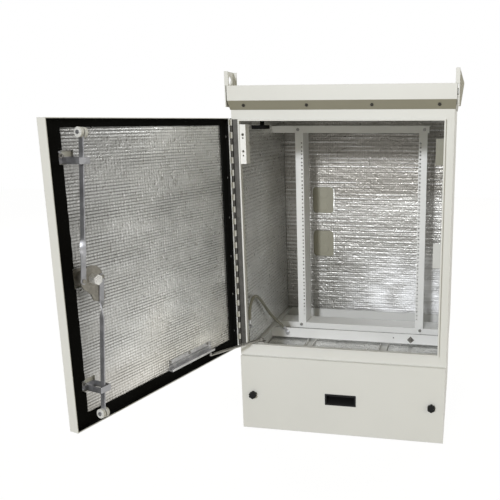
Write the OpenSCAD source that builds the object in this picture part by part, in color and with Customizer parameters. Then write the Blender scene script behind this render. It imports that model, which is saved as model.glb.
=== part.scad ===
// Roadside utility cabinet with open door, rack rails and foil-faced insulation

/* [Cabinet] */
// Width of the cabinet body
body_w = 726; // [680:1:900]
// Depth of the cabinet body
body_d = 590; // [560:1:700]
// Height of the plinth
plinth_h = 277; // [250:1:320]
// Height of the body between plinth and hood
body_h = 850; // [800:1:1000]
// Thickness of the sheet steel
sheet = 2; // [1.5:0.1:2.5]
// Seam left between neighbouring parts
seam = 0.3; // [0.2:0.05:0.5]

/* [Hood] */
// Height of the upright hood skirt
hood_skirt = 47; // [35:1:60]
// Height of the sloping hood underside
hood_slope = 29; // [20:1:40]
// Overhang of the hood in front and behind
hood_front = 20; // [14:1:30]
// Overhang of the hood at each side
hood_side = 5; // [4:1:12]
// Height of the lifting ears above the hood
ear_rise = 45; // [40:1:60]
// Depth of a lifting ear from front to back
ear_d = 82; // [70:1:100]

/* [Opening] */
// Frame width beside the raised lip
lip_side = 26; // [25:1:40]
// Frame height below the raised lip
lip_under = 41.5; // [38:0.5:50]
// Frame height above the raised lip
lip_over = 30.5; // [28:0.5:40]
// Height of the lip in front of the frame
lip_proud = 15; // [12:1:18]
// Thickness of the folded lip
lip_t = 5; // [4:0.5:6]

/* [Door] */
// Gap across the door edge and the lip in height
door_gap = 4; // [4:0.5:8]
// Frame width left free beside the door
door_side = 16; // [15:1:20]
// Depth of the door pan
door_d = 28; // [26:1:34]
// Gap between closed door edge and frame
door_stand = 3; // [2:0.5:4]
// Angle of the open door
door_open = 105.5; // [90:0.5:110]
// Width of the door seal
seal_w = 28; // [24:1:34]
// Width of the door seal at the hinge side
seal_hinge = 24; // [20:1:34]
// Extra seal width at the free side
seal_extra = 18; // [0:1:24]

/* [Hinge] */
// Distance of the hinge pin in front of the frame
hinge_front = 8.3; // [8:0.1:9.5]
// Radius of the hinge knuckles
knuckle_r = 4.5; // [4:0.1:5]
// Radius of the hinge pin
hinge_pin_r = 2; // [1.5:0.1:2.5]
// Length of one hinge knuckle
knuckle_l = 20.5; // [18:0.5:30]

/* [Insulation] */
// Thickness of the wall pads
pad_t = 12; // [10:0.5:14]
// Thickness of the door pad
door_pad_t = 9; // [7:0.5:10]
// Pitch of the quilted ribs
rib_pitch = 13; // [12:0.5:16]
// Height of the quilted ribs
rib_h = 1.6; // [1:0.1:2]

/* [Lock] */
// Distance of the lock spindle from the free door edge
lock_in = 70; // [66:1:80]
// Throw radius of the lock cam
cam_throw = 28; // [24:1:30]
// Angle that the lock is drawn back from its thrown place
lock_back = 90; // [80:1:90]
// Height of the rod centre line behind the frame face
rod_deep = 21; // [20:0.5:24]
// Width of the flat rods
rod_w = 14; // [12:1:16]
// Thickness of the flat rods
rod_t = 3; // [2.5:0.5:4]
// Radius of the nylon rollers
roller_r = 12.5; // [11:0.5:13]
// Distance of the rod guides from the door ends
guide_in = 101; // [90:1:130]
// Running clearance of pins in their holes
run = 0.1; // [0.05:0.01:0.1]

/* [Stay] */
// Distance of the stay pivot from the body edge
stay_in = 73; // [70:1:80]
// Depth of the stay pivot behind the frame face
stay_deep = 10; // [9:0.5:12]
// Distance of the stay slider from the hinge pin with the door open
stay_reach = 163; // [155:1:175]
// Length of the stay track
track_l = 206; // [200:1:230]

/* [Rack] */
// Clear width between the rack rails
rack_clear = 452; // [450:1:460]
// Spacing of the two columns of rack holes
rack_holes = 465.1; // [465:0.1:466]
// Distance of the rail faces from the back of the body
rack_back = 181; // [150:1:210]
// Width of a rail face
rail_w = 32; // [28:1:36]
// Depth of a rail web
rail_d = 90; // [70:1:100]
// Number of rack units
rack_units = 16; // [12:1:17]
// Radius of the rack holes
rack_hole_r = 3.3; // [3:0.1:3.5]

/* [Plinth] */
// Drop of the compartment floor below the plinth top
floor_drop = 67; // [60:1:75]
// Depth of the plinth cover in front of the plinth
cover_d = 14; // [12:0.5:18]
// Distance of the cover knobs from the plinth sides
knob_in = 43; // [36:1:60]
// Height of the cover knobs and handle
knob_z = 135; // [120:1:150]
// Radius of the cover knobs
knob_r = 13; // [11:0.5:15]
// Width of the recessed pull handle
pull_w = 110; // [90:1:130]
// Height of the recessed pull handle
pull_h = 41; // [35:1:50]
// Distance of the anchor holes from the plinth sides
anchor_in = 22; // [18:1:26]
// Distance of the anchor holes from the front and back of the body
anchor_back = 45; // [40:1:60]
// Radius of the anchor holes
anchor_r = 7; // [5:0.5:8]

/* [Hidden] */
$fn = 48;
bw = body_w / 2;
z_body = plinth_h;
z_hood = z_body + body_h;
z_skirt = z_hood + hood_slope;
z_top = z_skirt + hood_skirt;
body_top = z_hood + 25;
lip_x = bw - lip_side;
lip_z0 = z_body + lip_under;
lip_z1 = z_hood - lip_over;
lip_in = lip_x - lip_t;
dw = bw - door_side;
dz0 = lip_z0 - door_gap;
dz1 = lip_z1 + door_gap;
dzm = (dz0 + dz1) / 2;
door_in = -door_stand;
door_out = door_in - door_d;
skin_in = door_out + sheet;
pin_x = -bw;
pin_y = -hinge_front;
pad_in = bw - sheet - pad_t;
seal_top = -lip_proud - seam;
lock_x = dw - lock_in;
cam_t = 4;
cam_y1 = rod_deep - rod_t / 2 - 0.5;
cam_y0 = cam_y1 - cam_t;
rivet_r = 4;
guide_lo = dz0 + guide_in;
guide_hi = dz1 - guide_in;
roll_z = dz1 - 5;
rod_len = roll_z - dzm - cam_throw;
pin_turn = 90 - lock_back;
up_pin = [lock_x + cam_throw * cos(pin_turn), dzm + cam_throw * sin(pin_turn)];
low_pin = [lock_x - cam_throw * cos(pin_turn), dzm - cam_throw * sin(pin_turn)];
lean = atan((up_pin.x - lock_x) / (guide_hi - up_pin.y));
stay_x = pin_x + stay_in;
stay_dx = stay_x - pin_x;
stay_dy = stay_deep - pin_y;
slide_x = pin_x + stay_reach * cos(door_open);
slide_y = pin_y - stay_reach * sin(door_open);
arm_l = norm([slide_x - stay_x, slide_y - stay_deep]);
arm_turn = atan2(slide_y - stay_deep, slide_x - stay_x);
arm_z = lip_z0 + 14;
arm_t = 4;
track_u0 = stay_reach - 20;
track_z0 = arm_z + arm_t + 8;
track_z1 = track_z0 + 30;
pw = bw - 3;
anchor_x = 2 * (pw - anchor_in);
anchor_y = body_d - 2 * anchor_back;
knob_gap = 2 * (pw - knob_in);
floor_z = plinth_h - floor_drop;
rack_deep = body_d - rack_back;
rail_in = rack_clear / 2;
rail_out = rail_in + rail_w;
bar_y0 = rack_deep + sheet;
bar_y1 = bar_y0 + rail_d - sheet;
bar_z1 = floor_z + 61;
bar_z0 = bar_z1 - 24;
top_bar_z1 = lip_z1 - 24;
top_bar_z0 = top_bar_z1 - 27;
top_bar_x1 = rail_out + 6;
low_bar_y = rack_deep - 59;
low_bar_z0 = floor_z + 15;
low_bar_z1 = floor_z + 55;
bar_screw_z = bar_z1 - 8;
top_screw_z = top_bar_z1 - 14;
screw_x = rail_in + rail_w / 2 + 4;
unit_h = 44.45;
holes_z0 = (bar_z1 + top_bar_z0 - rack_units * unit_h) / 2 + 6.35;
chan_w = 33;
chan_l = [-0.554 * bw, -0.554 * bw + chan_w];
chan_r = [0.262 * bw, 0.262 * bw + chan_w];
chan_h = 15;
stud_x = pw - 146;
stud_z = low_bar_z0 + 17;
lug_x = -bw + 74;
lug_z = low_bar_z0 + 19;
lug_a = [-bw + sheet, 34, floor_z + 162];
lug_b = [lug_x - 12, low_bar_y - 6, lug_z + 19];
lug_way = [-9, -24, 28] / norm([-9, -24, 28]);
cable_r = 5.5;
barrel_r = cable_r + 1;
cable_a = [-bw + 25, lug_a.y, lug_a.z + 26];
cable_b = lug_b + (14 + seam) * lug_way;
cable_sag = [
    [0, 0.013, 33], [0, 0.053, 52], [0, 0.113, 64], [0, 0.186, 68], [0, 0.269, 63], [0, 0.369, 47],
    [0.5, 0.485, 21], [2.5, 0.618, -14], [8, 0.751, -52], [18.6, 0.867, -87]
];
cable_path = concat(
    [cable_a, cable_a + [0, 0, 15]],
    [for (c = cable_sag) cable_a + [c[0], c[1] * (cable_b.y - cable_a.y), c[2]]],
    [cable_b + 13 * lug_way, cable_b]
);

// Shared shapes
module block(a, b) {
    translate(a) cube(b - a);
}

module along_x(x0, x1) {
    translate([x0, 0, 0]) rotate([90, 0, 90]) linear_extrude(x1 - x0) children();
}

module along_y(y0, y1) {
    translate([0, y1, 0]) rotate([90, 0, 0]) linear_extrude(y1 - y0) children();
}

module rod_y(p, r, y0, y1) {
    translate([p.x, y1, p.y]) rotate([90, 0, 0]) cylinder(r = r, h = y1 - y0);
}

module hex_y(p, flat, y0, y1) {
    translate([p.x, y1, p.y]) rotate([90, 0, 0]) cylinder(r = flat / sqrt(3), h = y1 - y0, $fn = 6);
}

module plate_xz(x0, x1, z0, z1) {
    translate([x0, z0]) square([x1 - x0, z1 - z0]);
}

module in_frame() {
    translate([0, -body_d / 2, 0]) children();
}

module in_door() {
    in_frame() translate([pin_x, pin_y, 0]) rotate(-door_open) translate([-pin_x, -pin_y, 0]) children();
}

// Outline of a quilted pad from z0 to z1 with its ribs facing the room
function ribs(z0, z1) = floor((z1 - z0) / rib_pitch);
function rib_line(z0, z1, t) = let (n = ribs(z0, z1), p = (z1 - z0) / n) [
    for (i = [0 : n - 1], k = [[0, 0.12], [1, 0.38], [1, 0.62], [0, 0.88]])
        [t + k[0] * rib_h, z0 + (i + k[1]) * p]
];
module rib_profile(z0, z1, t) {
    polygon(concat([[0, z0], [t, z0]], rib_line(z0, z1, t), [[t, z1], [0, z1]]));
}

// Body sheets
module door_frame() {
    color("ivory") in_frame() difference() {
        union() {
            block([-bw, 0, z_body], [bw, sheet, body_top]);
            along_y(-lip_proud, 0) plate_xz(-lip_x, lip_x, lip_z0, lip_z1);
        }
        along_y(-lip_proud - 1, sheet + 1) plate_xz(-lip_in, lip_in, lip_z0 + lip_t, lip_z1 - lip_t);
    }
}

module side_sheet() {
    block([bw - sheet, sheet, z_body], [bw, body_d - sheet, body_top]);
    block([bw - 28, sheet, z_body], [bw - sheet, body_d - sheet, z_body + sheet]);
}

module left_side() {
    color("ivory") in_frame() mirror([1, 0, 0]) side_sheet();
}

module right_side() {
    color("ivory") in_frame() side_sheet();
}

win_x0 = -231;
win_x1 = -141;
win_h = 112;
win_z = [plinth_h + 243, plinth_h + 430];
module rear_panel() {
    color("ivory") in_frame() {
        block([-bw, body_d - sheet, z_body], [bw, body_d, body_top]);
        for (z = win_z, s = [-1, 1])
            rod_y([(win_x0 + win_x1) / 2, z + win_h / 2 + s * 27], 20, body_d - sheet - 1, body_d - sheet);
    }
}

module ceiling_panel() {
    color("ivory") in_frame()
        block([-bw + sheet, sheet, body_top - sheet], [bw - sheet, body_d - sheet, body_top]);
}

module floor_plate() {
    color("ivory") in_frame() {
        block([-pw + sheet, sheet, floor_z - sheet], [pw - sheet, body_d - 2 - sheet, floor_z]);
        for (x = [-pw + sheet, pw - 2 * sheet])
            block([x, sheet, floor_z - 22], [x + sheet, body_d - 2 - sheet, floor_z - sheet]);
    }
}

// Hood
module hood_block(wall, foot, top) {
    intersection() {
        along_x(-bw - hood_side + wall, bw + hood_side - wall) polygon([
            [-hood_front + wall, top], [-hood_front + wall, z_skirt + wall / 2],
            [-foot, z_hood], [body_d + foot, z_hood],
            [body_d + hood_front - wall, z_skirt + wall / 2], [body_d + hood_front - wall, top]
        ]);
        along_y(-hood_front, body_d + hood_front) polygon([
            [-bw - hood_side + wall, top], [-bw - hood_side + wall, z_skirt + wall / 2],
            [-bw - foot, z_hood], [bw + foot, z_hood],
            [bw + hood_side - wall, z_skirt + wall / 2], [bw + hood_side - wall, top]
        ]);
    }
}

hood_screw_x = [-0.87, -0.29, 0.29, 0.87] * bw;
slope_turn = atan2(hood_slope, hood_front - sheet);
slope_mid = [-(hood_front + sheet) / 2, z_hood + hood_slope / 2];
module slope_place(x) {
    translate([x, slope_mid.x, slope_mid.y]) rotate([90 + 90 - slope_turn, 0, 0]) children();
}

module roof_hood() {
    color("ivory") in_frame() difference() {
        hood_block(0, sheet, z_top);
        hood_block(sheet, seam, z_top - sheet);
        block([-bw - seam, -seam, z_hood - 1], [bw + seam, body_d + seam, z_hood + 4]);
        for (x = hood_screw_x)
            slope_place(x) translate([0, 0, -8]) cylinder(r = 3.2, h = 16);
    }
}

module roof_battens() {
    color("silver") in_frame() for (s = [-1, 1])
        block([s * bw * 0.55 - 16, 60, body_top], [s * bw * 0.55 + 16, body_d - 60, z_top - sheet]);
}

module hood_screws() {
    color("gray") in_frame() for (x = hood_screw_x) slope_place(x) {
        cylinder(r = 5.5, h = 3, $fn = 6);
        translate([0, 0, -6]) cylinder(r = 3, h = 6.5);
    }
}

ear_t = 3;
ear_gap = 4;
ear_x = bw + hood_side + ear_gap;
ear_eye_r = 14;
ear_y0 = -hood_front + 2;
ear_z1 = z_top + ear_rise;
module ear() {
    difference() {
        block([ear_x, ear_y0, z_hood + 9], [ear_x + ear_t, ear_y0 + ear_d, ear_z1]);
        translate([ear_x - 1, ear_y0 + 0.57 * ear_d, z_top + 17]) rotate([0, 90, 0])
            cylinder(r = ear_eye_r, h = ear_t + 2);
    }
    for (y = [0.25, 0.75])
        translate([ear_x - ear_gap, ear_y0 + y * ear_d, z_skirt + hood_skirt / 2]) rotate([0, 90, 0])
            cylinder(r = 9, h = ear_gap + 0.5);
    along_y(ear_y0 + ear_d - ear_t, ear_y0 + ear_d) polygon([
        [ear_x + ear_t - 0.5, z_hood + 9], [ear_x + ear_t + 4, z_hood + 9], [ear_x + 16, z_top + 3],
        [ear_x + ear_t, ear_z1], [ear_x + ear_t - 0.5, ear_z1]
    ]);
    for (y = [ear_y0, ear_y0 + ear_d - ear_t])
        block([ear_x - 10, y, z_top + seam], [ear_x + 0.5, y + ear_t, ear_z1]);
}

module left_ear() {
    color("ivory") in_frame() mirror([1, 0, 0]) ear();
}

module right_ear() {
    color("ivory") in_frame() ear();
}

// Plinth
stud_r = 3;
module plinth_box() {
    color("ivory") in_frame() difference() {
        union() {
            difference() {
                block([-pw, 0, 0], [pw, body_d - 2, plinth_h]);
                block([-pw + sheet, sheet, -1], [pw - sheet, body_d - 2 - sheet, plinth_h + 1]);
            }
            for (s = [-1, 1]) {
                block([s * (pw - 22) - 22, sheet, 0], [s * (pw - 22) + 22, body_d - 4, 4]);
                block([s * (pw - 12) - 12, sheet, plinth_h - 3], [s * (pw - 12) + 12, body_d - 4, plinth_h]);
            }
        }
        block([-pw + 70, -1, 24], [pw - 70, sheet + 1, floor_z - 30]);
        for (s = [-1, 1])
            rod_y([s * knob_gap / 2, knob_z], stud_r + 0.5, -1, sheet + 1);
        for (sx = [-1, 1], sy = [-1, 1])
            translate([sx * anchor_x / 2, body_d / 2 + sy * anchor_y / 2, -1]) cylinder(r = anchor_r, h = 6);
    }
}

// Pads of foil-faced foam
module side_pad() {
    translate([bw - sheet - seam, 0, 0]) mirror([1, 0, 0]) along_y(62, body_d - sheet - pad_t - rib_h - 1)
        rib_profile(z_body + 6, body_top - sheet - pad_t - 2, pad_t - seam - rib_h);
}

module left_pad() {
    color("silver") in_frame() mirror([1, 0, 0]) difference() {
        side_pad();
        block([0, bar_y0 - 2, top_bar_z0 - 2], [bw, bar_y1 + 2, top_bar_z1 + 2]);
    }
}

module right_pad() {
    color("silver") in_frame() difference() {
        side_pad();
        for (z = right_bracket_z)
            block([0, 50, z - 2], [bw, 150, z + 88]);
    }
}

module rear_pad() {
    color("silver") in_frame() difference() {
        translate([0, body_d - sheet - seam, 0]) mirror([0, 1, 0]) along_x(-pad_in + 1, pad_in - 1)
            rib_profile(z_body + 6, body_top - sheet - pad_t - 2, pad_t - seam - rib_h);
        for (z = win_z)
            block([win_x0, body_d - 40, z], [win_x1, body_d, z + win_h]);
    }
}

module ceiling_pad() {
    color("silver") in_frame()
        block([-pad_in, 12, body_top - sheet - pad_t], [pad_in, body_d - 16, body_top - sheet]);
}

module floor_pads() {
    left = [-pw + 6, chan_l[0] - 1];
    middle = [chan_l[1] + 1, chan_r[0] - 1];
    right = [chan_r[1] + 1, pw - 6];
    color("silver") in_frame() for (x = [left, middle, right])
        block([x[0], 8, floor_z], [x[1], body_d - 20, floor_z + 8]);
}

// Rack
module rail() {
    difference() {
        block([rail_in, rack_deep, bar_z0 + 2], [rail_out, rack_deep + sheet, top_bar_z1]);
        for (u = [0 : rack_units - 1], h = [0, 15.875, 31.75])
            rod_y([rack_holes / 2, holes_z0 + u * unit_h + h], rack_hole_r,
                rack_deep - 1, rack_deep + sheet + 1);
        for (z = [bar_screw_z, top_screw_z])
            rod_y([screw_x, z], 3.3, rack_deep - 1, rack_deep + sheet + 1);
    }
    block([rail_in, rack_deep + sheet - 0.5, bar_z1], [rail_in + sheet, rack_deep + rail_d, top_bar_z0 - seam]);
}

module left_rail() {
    color("ivory") in_frame() mirror([1, 0, 0]) rail();
}

module right_rail() {
    color("ivory") in_frame() rail();
}

module bar_holes(z) {
    for (s = [-1, 1])
        rod_y([s * screw_x, z], 3.3, bar_y0 - 1, bar_y0 + sheet + 1);
}

module top_bar() {
    color("ivory") in_frame() difference() {
        union() {
            block([-bw + sheet, bar_y0, top_bar_z0], [top_bar_x1, bar_y0 + sheet, top_bar_z1]);
            block([-bw + sheet, bar_y0, top_bar_z1 - sheet], [top_bar_x1, bar_y1, top_bar_z1]);
        }
        bar_holes(top_screw_z);
    }
}

module bottom_bar() {
    color("ivory") in_frame() difference() {
        union() {
            block([-pw + sheet, bar_y0, bar_z0], [pw - sheet, bar_y0 + sheet, bar_z1]);
            block([-pw + sheet, bar_y0, bar_z1 - sheet], [pw - sheet, bar_y1, bar_z1]);
        }
        bar_holes(bar_screw_z);
        for (s = [-1, 1], x = [pw - 44, pw - 68])
            translate([s * x, bar_y0 + 24, bar_z1 - 5]) cylinder(r = 3.5, h = 10);
    }
}

module front_bar() {
    color("ivory") in_frame() difference() {
        union() {
            block([-pw + sheet, low_bar_y, low_bar_z0], [pw - sheet, low_bar_y + sheet, low_bar_z1]);
            block([-pw + sheet, low_bar_y, low_bar_z0], [pw - sheet, low_bar_y + 30, low_bar_z0 + sheet]);
        }
        for (x = [stud_x, lug_x])
            rod_y([x, x == stud_x ? stud_z : lug_z], 4.1, low_bar_y - 1, low_bar_y + sheet + 1);
        rod_y([stud_x - 68, stud_z + 5], 3, low_bar_y - 1, low_bar_y + sheet + 1);
    }
}

module rack_screws() {
    color("gray") in_frame() for (s = [-1, 1], z = [bar_screw_z, top_screw_z]) {
        rod_y([s * screw_x, z], 6, rack_deep - 3.5, rack_deep);
        rod_y([s * screw_x, z], 3, rack_deep - 0.5, bar_y0 + sheet);
        hex_y([s * screw_x, z], 10, bar_y0 + sheet, bar_y0 + sheet + 5);
    }
}

module floor_channels() {
    color("ivory") in_frame() for (c = [chan_l, chan_r]) difference() {
        block([c[0], 8, floor_z], [c[1], low_bar_y - 3, floor_z + chan_h]);
        block([c[0] + sheet, 7, floor_z + sheet], [c[1] - sheet, low_bar_y, floor_z + chan_h + 1]);
    }
}

// Brackets and small fittings on the walls
left_bracket_z = [lip_z1 - 144, lip_z1 - 16];
left_bracket_y = -lip_proud + 2;
module left_bracket() {
    x0 = -lip_in + seam;
    x1 = x0 + 20;
    y0 = left_bracket_y;
    z0 = left_bracket_z[0];
    z1 = left_bracket_z[1];
    color("ivory") in_frame() difference() {
        union() {
            block([x0, y0, z0], [x1, y0 + sheet, z1]);
            block([x0, y0, z0], [x0 + sheet, y0 + 14, z1]);
            block([x1 - sheet, y0, z0], [x1, y0 + 37, z1]);
        }
        for (h = [[27, 2.6], [41, 4], [84, 2.8], [95, 4.5]])
            rod_y([(x0 + x1) / 2, z0 + h[0]], h[1], y0 - 1, y0 + sheet + 1);
        translate([x1 - sheet - 1, y0 + 20, z0 + 64]) rotate([0, 90, 0]) cylinder(r = 3, h = sheet + 2);
    }
}

right_bracket_z = [lip_z1 - 149, lip_z1 - 0.643 * (lip_z1 - lip_z0)];
module right_brackets() {
    x1 = bw - sheet;
    color("ivory") in_frame() for (z = right_bracket_z) {
        block([bw - 60, 100, z], [x1, 102, z + 86]);
        block([x1 - sheet, 100, z], [x1, 146, z + 86]);
    }
}

module ceiling_block() {
    color("black") in_frame() {
        block([-bw + 54, 40, lip_z1 - 32], [-bw + 100, 96, lip_z1 - 19]);
        block([-bw + 71, 80, lip_z1 - 19.5], [-bw + 83, 92, body_top - sheet - pad_t]);
    }
}

module earth_stud() {
    color("gold") in_frame() {
        rod_y([stud_x, stud_z], 4, low_bar_y - 16, low_bar_y + sheet + 0.5);
        difference() {
            translate([stud_x, low_bar_y, stud_z]) rotate([90, 45, 0])
                linear_extrude(2) square(20, center = true);
            rod_y([stud_x, stud_z], 3.5, low_bar_y - 3, low_bar_y);
        }
        hex_y([stud_x, stud_z], 13, low_bar_y - 9, low_bar_y - 2);
        hex_y([stud_x, stud_z], 13, low_bar_y + sheet, low_bar_y + sheet + 6);
    }
}

module earth_lugs() {
    color("silver") in_frame() {
        rod_y([lug_x, lug_z], 4, low_bar_y - 9, low_bar_y + sheet + 0.5);
        hex_y([lug_x, lug_z], 13, low_bar_y - 9, low_bar_y - 2);
        hex_y([lug_x, lug_z], 13, low_bar_y + sheet, low_bar_y + sheet + 6);
        along_y(low_bar_y - 2, low_bar_y) hull() {
            translate([lug_x, lug_z]) circle(9);
            translate([lug_b.x, lug_b.z]) circle(5);
        }
        translate(lug_b) rotate([0, acos(lug_way.z), atan2(lug_way.y, lug_way.x)])
            cylinder(r = barrel_r, h = 14);
        block(lug_a + [20, -5, 0], lug_a + [22, 5, 20]);
        translate([cable_a.x, cable_a.y, lug_a.z + 12]) cylinder(r = barrel_r, h = 14 - seam);
        translate([lug_a.x, lug_a.y, lug_a.z]) rotate([0, 90, 0]) cylinder(r = 4, h = 34);
        translate([lug_a.x + 20, lug_a.y, lug_a.z]) rotate([0, 90, 0]) cylinder(r = 9, h = 2);
        translate([lug_a.x + 22, lug_a.y, lug_a.z]) rotate([0, 90, 0]) cylinder(r = 7.5, h = 7, $fn = 6);
    }
}

// Earth cable along its bend
function bend(p, i) = let (n = len(p) - 1, a = p[max(0, i - 1)], b = p[min(n, i + 1)]) (b - a) / norm(b - a);
function ring(c, d) = let (s = cross(d, [1, 0, 0]), u = s / norm(s), v = cross(d, u))
    [for (k = [0 : 9]) c + cable_r * (cos(36 * k) * u + sin(36 * k) * v)];
module earth_cable() {
    n = len(cable_path);
    color("lightgray") in_frame() polyhedron(
        [for (i = [0 : n - 1]) each ring(cable_path[i], bend(cable_path, i))],
        concat(
            [[for (k = [0 : 9]) k]],
            [for (i = [0 : n - 2], k = [0 : 9])
                [i * 10 + (k + 1) % 10, i * 10 + k, i * 10 + 10 + k, i * 10 + 10 + (k + 1) % 10]],
            [[for (k = [0 : 9]) n * 10 - 1 - k]]
        )
    );
}

module roller_keepers() {
    color("silver") in_frame() for (z = [[lip_z1 - lip_t, lip_z1 + 19], [lip_z0 - 19, lip_z0 + lip_t]])
        block([lock_x - 32, sheet, z[0]], [lock_x + 32, sheet + 5, z[1]]);
}

stay_pin_r = 3;
module stay_bracket() {
    color("silver") in_frame() {
        block([stay_x - 14, sheet, lip_z0 - 20], [stay_x + 14, sheet + 2, lip_z0 + lip_t + 4]);
        block([stay_x - 14, sheet, lip_z0 + lip_t + 2], [stay_x + 14, stay_deep + 14, lip_z0 + lip_t + 4]);
        translate([stay_x, stay_deep, lip_z0 + lip_t + 3.5])
            cylinder(r = stay_pin_r, h = arm_z + arm_t + 3 - lip_z0 - lip_t - 3.5);
        translate([stay_x, stay_deep, arm_z + arm_t + 0.6]) cylinder(r = 5.5, h = 2.4);
    }
}

// Hinge
knuckles = floor((dz1 - dz0 - 2) / knuckle_l);
knuckle_z0 = dzm - knuckles * knuckle_l / 2;
module knuckle_row(first) {
    for (i = [first : 2 : knuckles - 1])
        translate([pin_x, pin_y, knuckle_z0 + i * knuckle_l + seam])
            cylinder(r = knuckle_r, h = knuckle_l - 2 * seam, $fn = 24);
}

module hinge_bore() {
    translate([pin_x, pin_y, knuckle_z0 - 2])
        cylinder(r = hinge_pin_r + run, h = knuckles * knuckle_l + 4, $fn = 24);
}

module hinge_frame_leaf() {
    color("silver") in_frame() difference() {
        union() {
            block([pin_x + 0.5, -1.5, knuckle_z0], [pin_x + 23, 0, knuckle_z0 + knuckles * knuckle_l]);
            knuckle_row(0);
            for (i = [0 : 2 : knuckles - 1])
                block([pin_x + 0.5, pin_y, knuckle_z0 + i * knuckle_l + seam],
                    [pin_x + knuckle_r, -1, knuckle_z0 + (i + 1) * knuckle_l - seam]);
        }
        hinge_bore();
    }
}

module hinge_pin() {
    color("silver") in_frame() {
        translate([pin_x, pin_y, knuckle_z0 - 1])
            cylinder(r = hinge_pin_r, h = knuckles * knuckle_l + 2, $fn = 24);
        for (z = [knuckle_z0 - 3, knuckle_z0 + knuckles * knuckle_l + seam])
            translate([pin_x, pin_y, z]) cylinder(r = hinge_pin_r + 1, h = 3 - seam, $fn = 24);
    }
}

module hinge_door_leaf() {
    leaf_y1 = pin_y - knuckle_r + 2;
    color("silver") in_door() difference() {
        union() {
            block([-dw - 2, skin_in, knuckle_z0], [-dw, leaf_y1, knuckle_z0 + knuckles * knuckle_l]);
            knuckle_row(1);
            for (i = [1 : 2 : knuckles - 1])
                block([pin_x, pin_y - knuckle_r, knuckle_z0 + i * knuckle_l + seam],
                    [-dw - 1, leaf_y1, knuckle_z0 + (i + 1) * knuckle_l - seam]);
        }
        hinge_bore();
        for (z = hinge_rivet_z)
            rivet_hole(z);
    }
}

rivet_step = 133.5;
rivet_y = pin_y - knuckle_r - 4.6;
module rivet_hole(z) {
    translate([-dw - 3, rivet_y, z]) rotate([0, 90, 0]) cylinder(r = 2.6, h = sheet + 4);
}

hinge_rivet_z = [for (i = [-2.5 : 1 : 2.5]) dzm + i * rivet_step];
module hinge_rivets() {
    color("gray") in_door() for (z = hinge_rivet_z)
        translate([-dw - 2, rivet_y, z]) rotate([0, 90, 0]) {
            translate([0, 0, -1.6]) cylinder(r = 4, h = 1.6);
            translate([0, 0, -0.5]) cylinder(r = 2.4, h = sheet + 3);
            translate([0, 0, sheet + 2]) cylinder(r = 4, h = 3);
        }
}

// Door
module door_pan() {
    color("ivory") in_door() difference() {
        block([-dw, door_out, dz0], [dw, door_in, dz1]);
        block([-dw + sheet, skin_in, dz0 + sheet], [dw - sheet, door_in + 1, dz1 - sheet]);
        rod_y([lock_x, dzm], 11.2, door_out - 1, skin_in + 1);
        for (z = hinge_rivet_z)
            rivet_hole(z);
    }
}

pad_x0 = -dw + sheet + seal_hinge;
pad_x1 = dw - sheet - seal_w - seal_extra;
pad_z0 = dz0 + sheet + seal_w;
pad_z1 = dz1 - sheet - seal_w + 7;
module door_seal() {
    color("black") in_door() difference() {
        along_y(skin_in, seal_top) difference() {
            plate_xz(-dw + sheet, dw - sheet, dz0 + sheet, dz1 - sheet);
            plate_xz(pad_x0, pad_x1, pad_z0, pad_z1);
        }
        for (z = hinge_rivet_z)
            block([-dw, rivet_y - 5, z - 5], [-dw + sheet + 6, 0, z + 5]);
        fitting_cuts();
    }
}

// Room for the lock, the rod guides and the stay track in the pad and the seal
module fitting_cuts() {
    rod_y([lock_x, dzm], 26, skin_in - 1, 0);
    for (z = [guide_lo, guide_hi])
        block([lock_x - guide_w / 2 - 4, skin_in - 1, z - 10], [lock_x + guide_w / 2 + 19, 0, z + 24]);
    block([pin_x + track_u0 - 2, skin_in - 1, track_z0 - 2],
        [pin_x + track_u0 + track_l + 2, 0, track_z1 + 2]);
}

module door_pad() {
    color("silver") in_door() difference() {
        translate([0, skin_in, 0]) along_x(pad_x0 + seam, pad_x1 - seam)
            rib_profile(pad_z0 + seam, pad_z1 - seam, door_pad_t - rib_h);
        fitting_cuts();
    }
}

// Rod guides with a strap around each rod
guide_w = 28;
guide_y1 = rod_deep + rod_w / 2 + 2;
module guide(z) {
    difference() {
        block([lock_x - guide_w / 2 - 2, skin_in, z - 8], [lock_x + guide_w / 2 + 2, guide_y1 + 2, z + 8]);
        block([lock_x - guide_w / 2, skin_in + 2, z - 9], [lock_x + guide_w / 2, guide_y1, z + 9]);
    }
    difference() {
        block([lock_x + guide_w / 2 + 1, skin_in, z - 8], [lock_x + guide_w / 2 + 17, skin_in + 2, z + 22]);
        rod_y([lock_x + guide_w / 2 + 9, z + 12], 3.4, skin_in - 1, skin_in + 3);
    }
}

module rod_guides() {
    color("silver") in_door() for (z = [guide_lo, guide_hi]) guide(z);
}

module guide_bolts() {
    color("gray") in_door() for (z = [guide_lo, guide_hi]) {
        rod_y([lock_x + guide_w / 2 + 9, z + 12], 3, skin_in, skin_in + 16);
        hex_y([lock_x + guide_w / 2 + 9, z + 12], 12, skin_in + 2, skin_in + 9);
    }
}

// Door stay
module stay_track() {
    x0 = pin_x + track_u0;
    color("silver") in_door() difference() {
        union() {
            along_x(x0, x0 + track_l) polygon([
                [skin_in, track_z0], [-6, track_z0], [-6, track_z0 + 7], [-8, track_z0 + 7], [-8, track_z0 + 2],
                [skin_in + 8, track_z0 + 2], [skin_in + 8, track_z0 + 15], [skin_in + 2, track_z0 + 17],
                [skin_in + 2, track_z1], [skin_in, track_z1]
            ]);
        }
        for (i = [0.06, 0.5, 0.94])
            rod_y([x0 + i * track_l, track_z1 - 6], 2.6, skin_in - 1, skin_in + 4);
    }
}

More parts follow.
